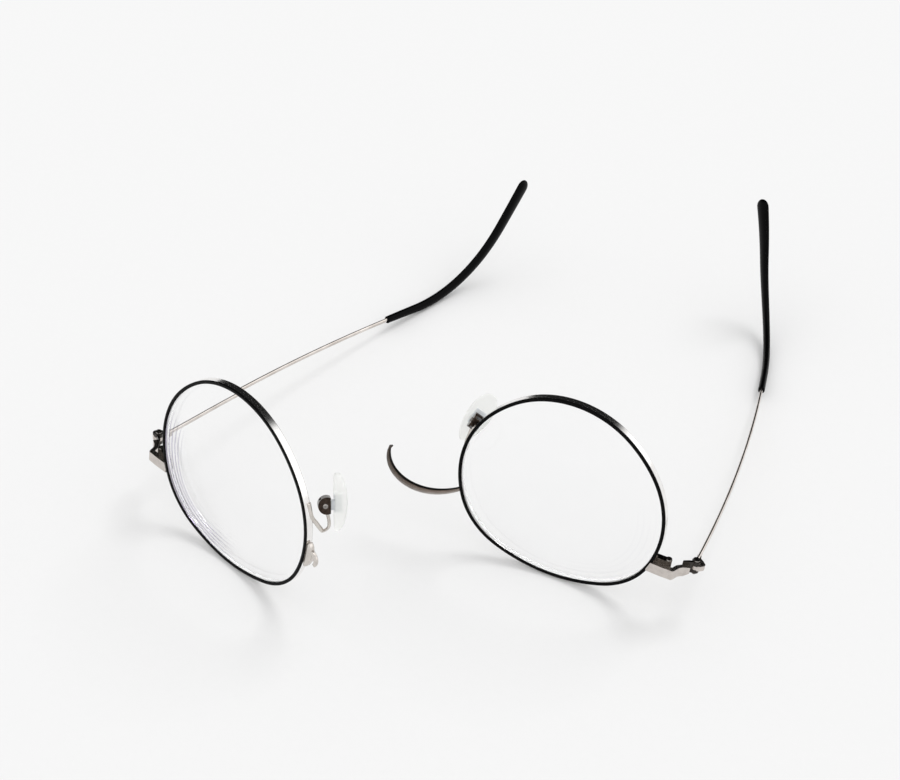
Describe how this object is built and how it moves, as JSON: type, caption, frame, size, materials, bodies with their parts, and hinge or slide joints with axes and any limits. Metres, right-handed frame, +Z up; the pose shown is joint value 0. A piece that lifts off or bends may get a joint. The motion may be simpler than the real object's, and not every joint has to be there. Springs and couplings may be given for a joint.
{
  "type": "broken eyeglasses",
  "caption": "Round metal-rimmed eyeglasses snapped in two at the bridge, both halves lying upside down, with folding temples and rocking nose pads.",
  "frame": {"origin": "middle of the base of the bounding box, on the floor that both halves lie on", "axes": "+Z up. -Y toward the side that the lens fronts face most. +X from the left half to the right half, along the longest extent"},
  "size_m": [0.1584, 0.1496, 0.0478],
  "materials": {
    "rim_paint": "gloss black enamel on the front, bright metal on the sides",
    "lens": "clear polished corrective lens with an anti-reflection coating",
    "hardware": "satin warm grey metal",
    "screws": "turned steel, dulled",
    "endpiece": "satin warm grey metal with dark top edges",
    "hinge": "dull metal, dark in the gaps",
    "temple_wire": "rose silver satin wire",
    "temple_tip": "gloss black cellulose tip",
    "pad_arm": "bent bright wire",
    "pad_box": "small pressed box, darkened",
    "pad_insert": "bluish grey plastic core",
    "nose_pad": "translucent whitish silicone",
    "bridge": "engraved band with a dull grey brown tone"
  },
  "bodies": {
    "broken_halves": {"left_rim": "rim_paint", "left_lens": "lens", "left_rim_lock_lower": "hardware", "left_rim_lock_upper": "hardware", "left_rim_lock_screw": "screws", "left_endpiece": "endpiece", "left_hinge_front_leaf": "hinge", "left_hinge_screw": "screws", "left_pad_arm": "pad_arm", "left_pad_box": "pad_box", "left_pad_screw": "screws", "left_bridge_stub": "bridge", "right_rim": "rim_paint", "right_lens": "lens", "right_rim_lock_lower": "hardware", "right_rim_lock_upper": "hardware", "right_rim_lock_screw": "screws", "right_endpiece": "endpiece", "right_hinge_front_leaf": "hinge", "right_hinge_screw": "screws", "right_pad_arm": "pad_arm", "right_pad_box": "pad_box", "right_pad_screw": "screws", "right_bridge": "bridge"},
    "left_temple": {"left_hinge_temple_leaf": "endpiece", "left_temple_wire": "temple_wire", "left_temple_tip": "temple_tip"},
    "left_pad": {"left_pad_insert": "pad_insert", "left_nose_pad": "nose_pad"},
    "right_temple": {"right_hinge_temple_leaf": "endpiece", "right_temple_wire": "temple_wire", "right_temple_tip": "temple_tip"},
    "right_pad": {"right_pad_insert": "pad_insert", "right_nose_pad": "nose_pad"}
  },
  "joints": [
    {"name": "left_temple_hinge", "type": "hinge", "parent": "broken_halves", "child": "left_temple", "pos_m": [-0.07757, -0.02962, 0.01394], "axis": [-0.1086, -0.084, -0.9905], "range_deg": [-2, 92]},
    {"name": "left_pad_rock", "type": "hinge", "parent": "broken_halves", "child": "left_pad", "pos_m": [-0.03429, -0.06744, 0.02896], "axis": [-0.1757, 0.8597, -0.4797], "range_deg": [-5, 5]},
    {"name": "right_temple_hinge", "type": "hinge", "parent": "broken_halves", "child": "right_temple", "pos_m": [0.04865, -0.06567, 0.01192], "axis": [0.0913, 0.0962, 0.9912], "range_deg": [-12, 82]},
    {"name": "right_pad_rock", "type": "hinge", "parent": "broken_halves", "child": "right_pad", "pos_m": [-0.0016, -0.04006, 0.03061], "axis": [0.8322, -0.2436, -0.4981], "range_deg": [-5, 5]}
  ]
}
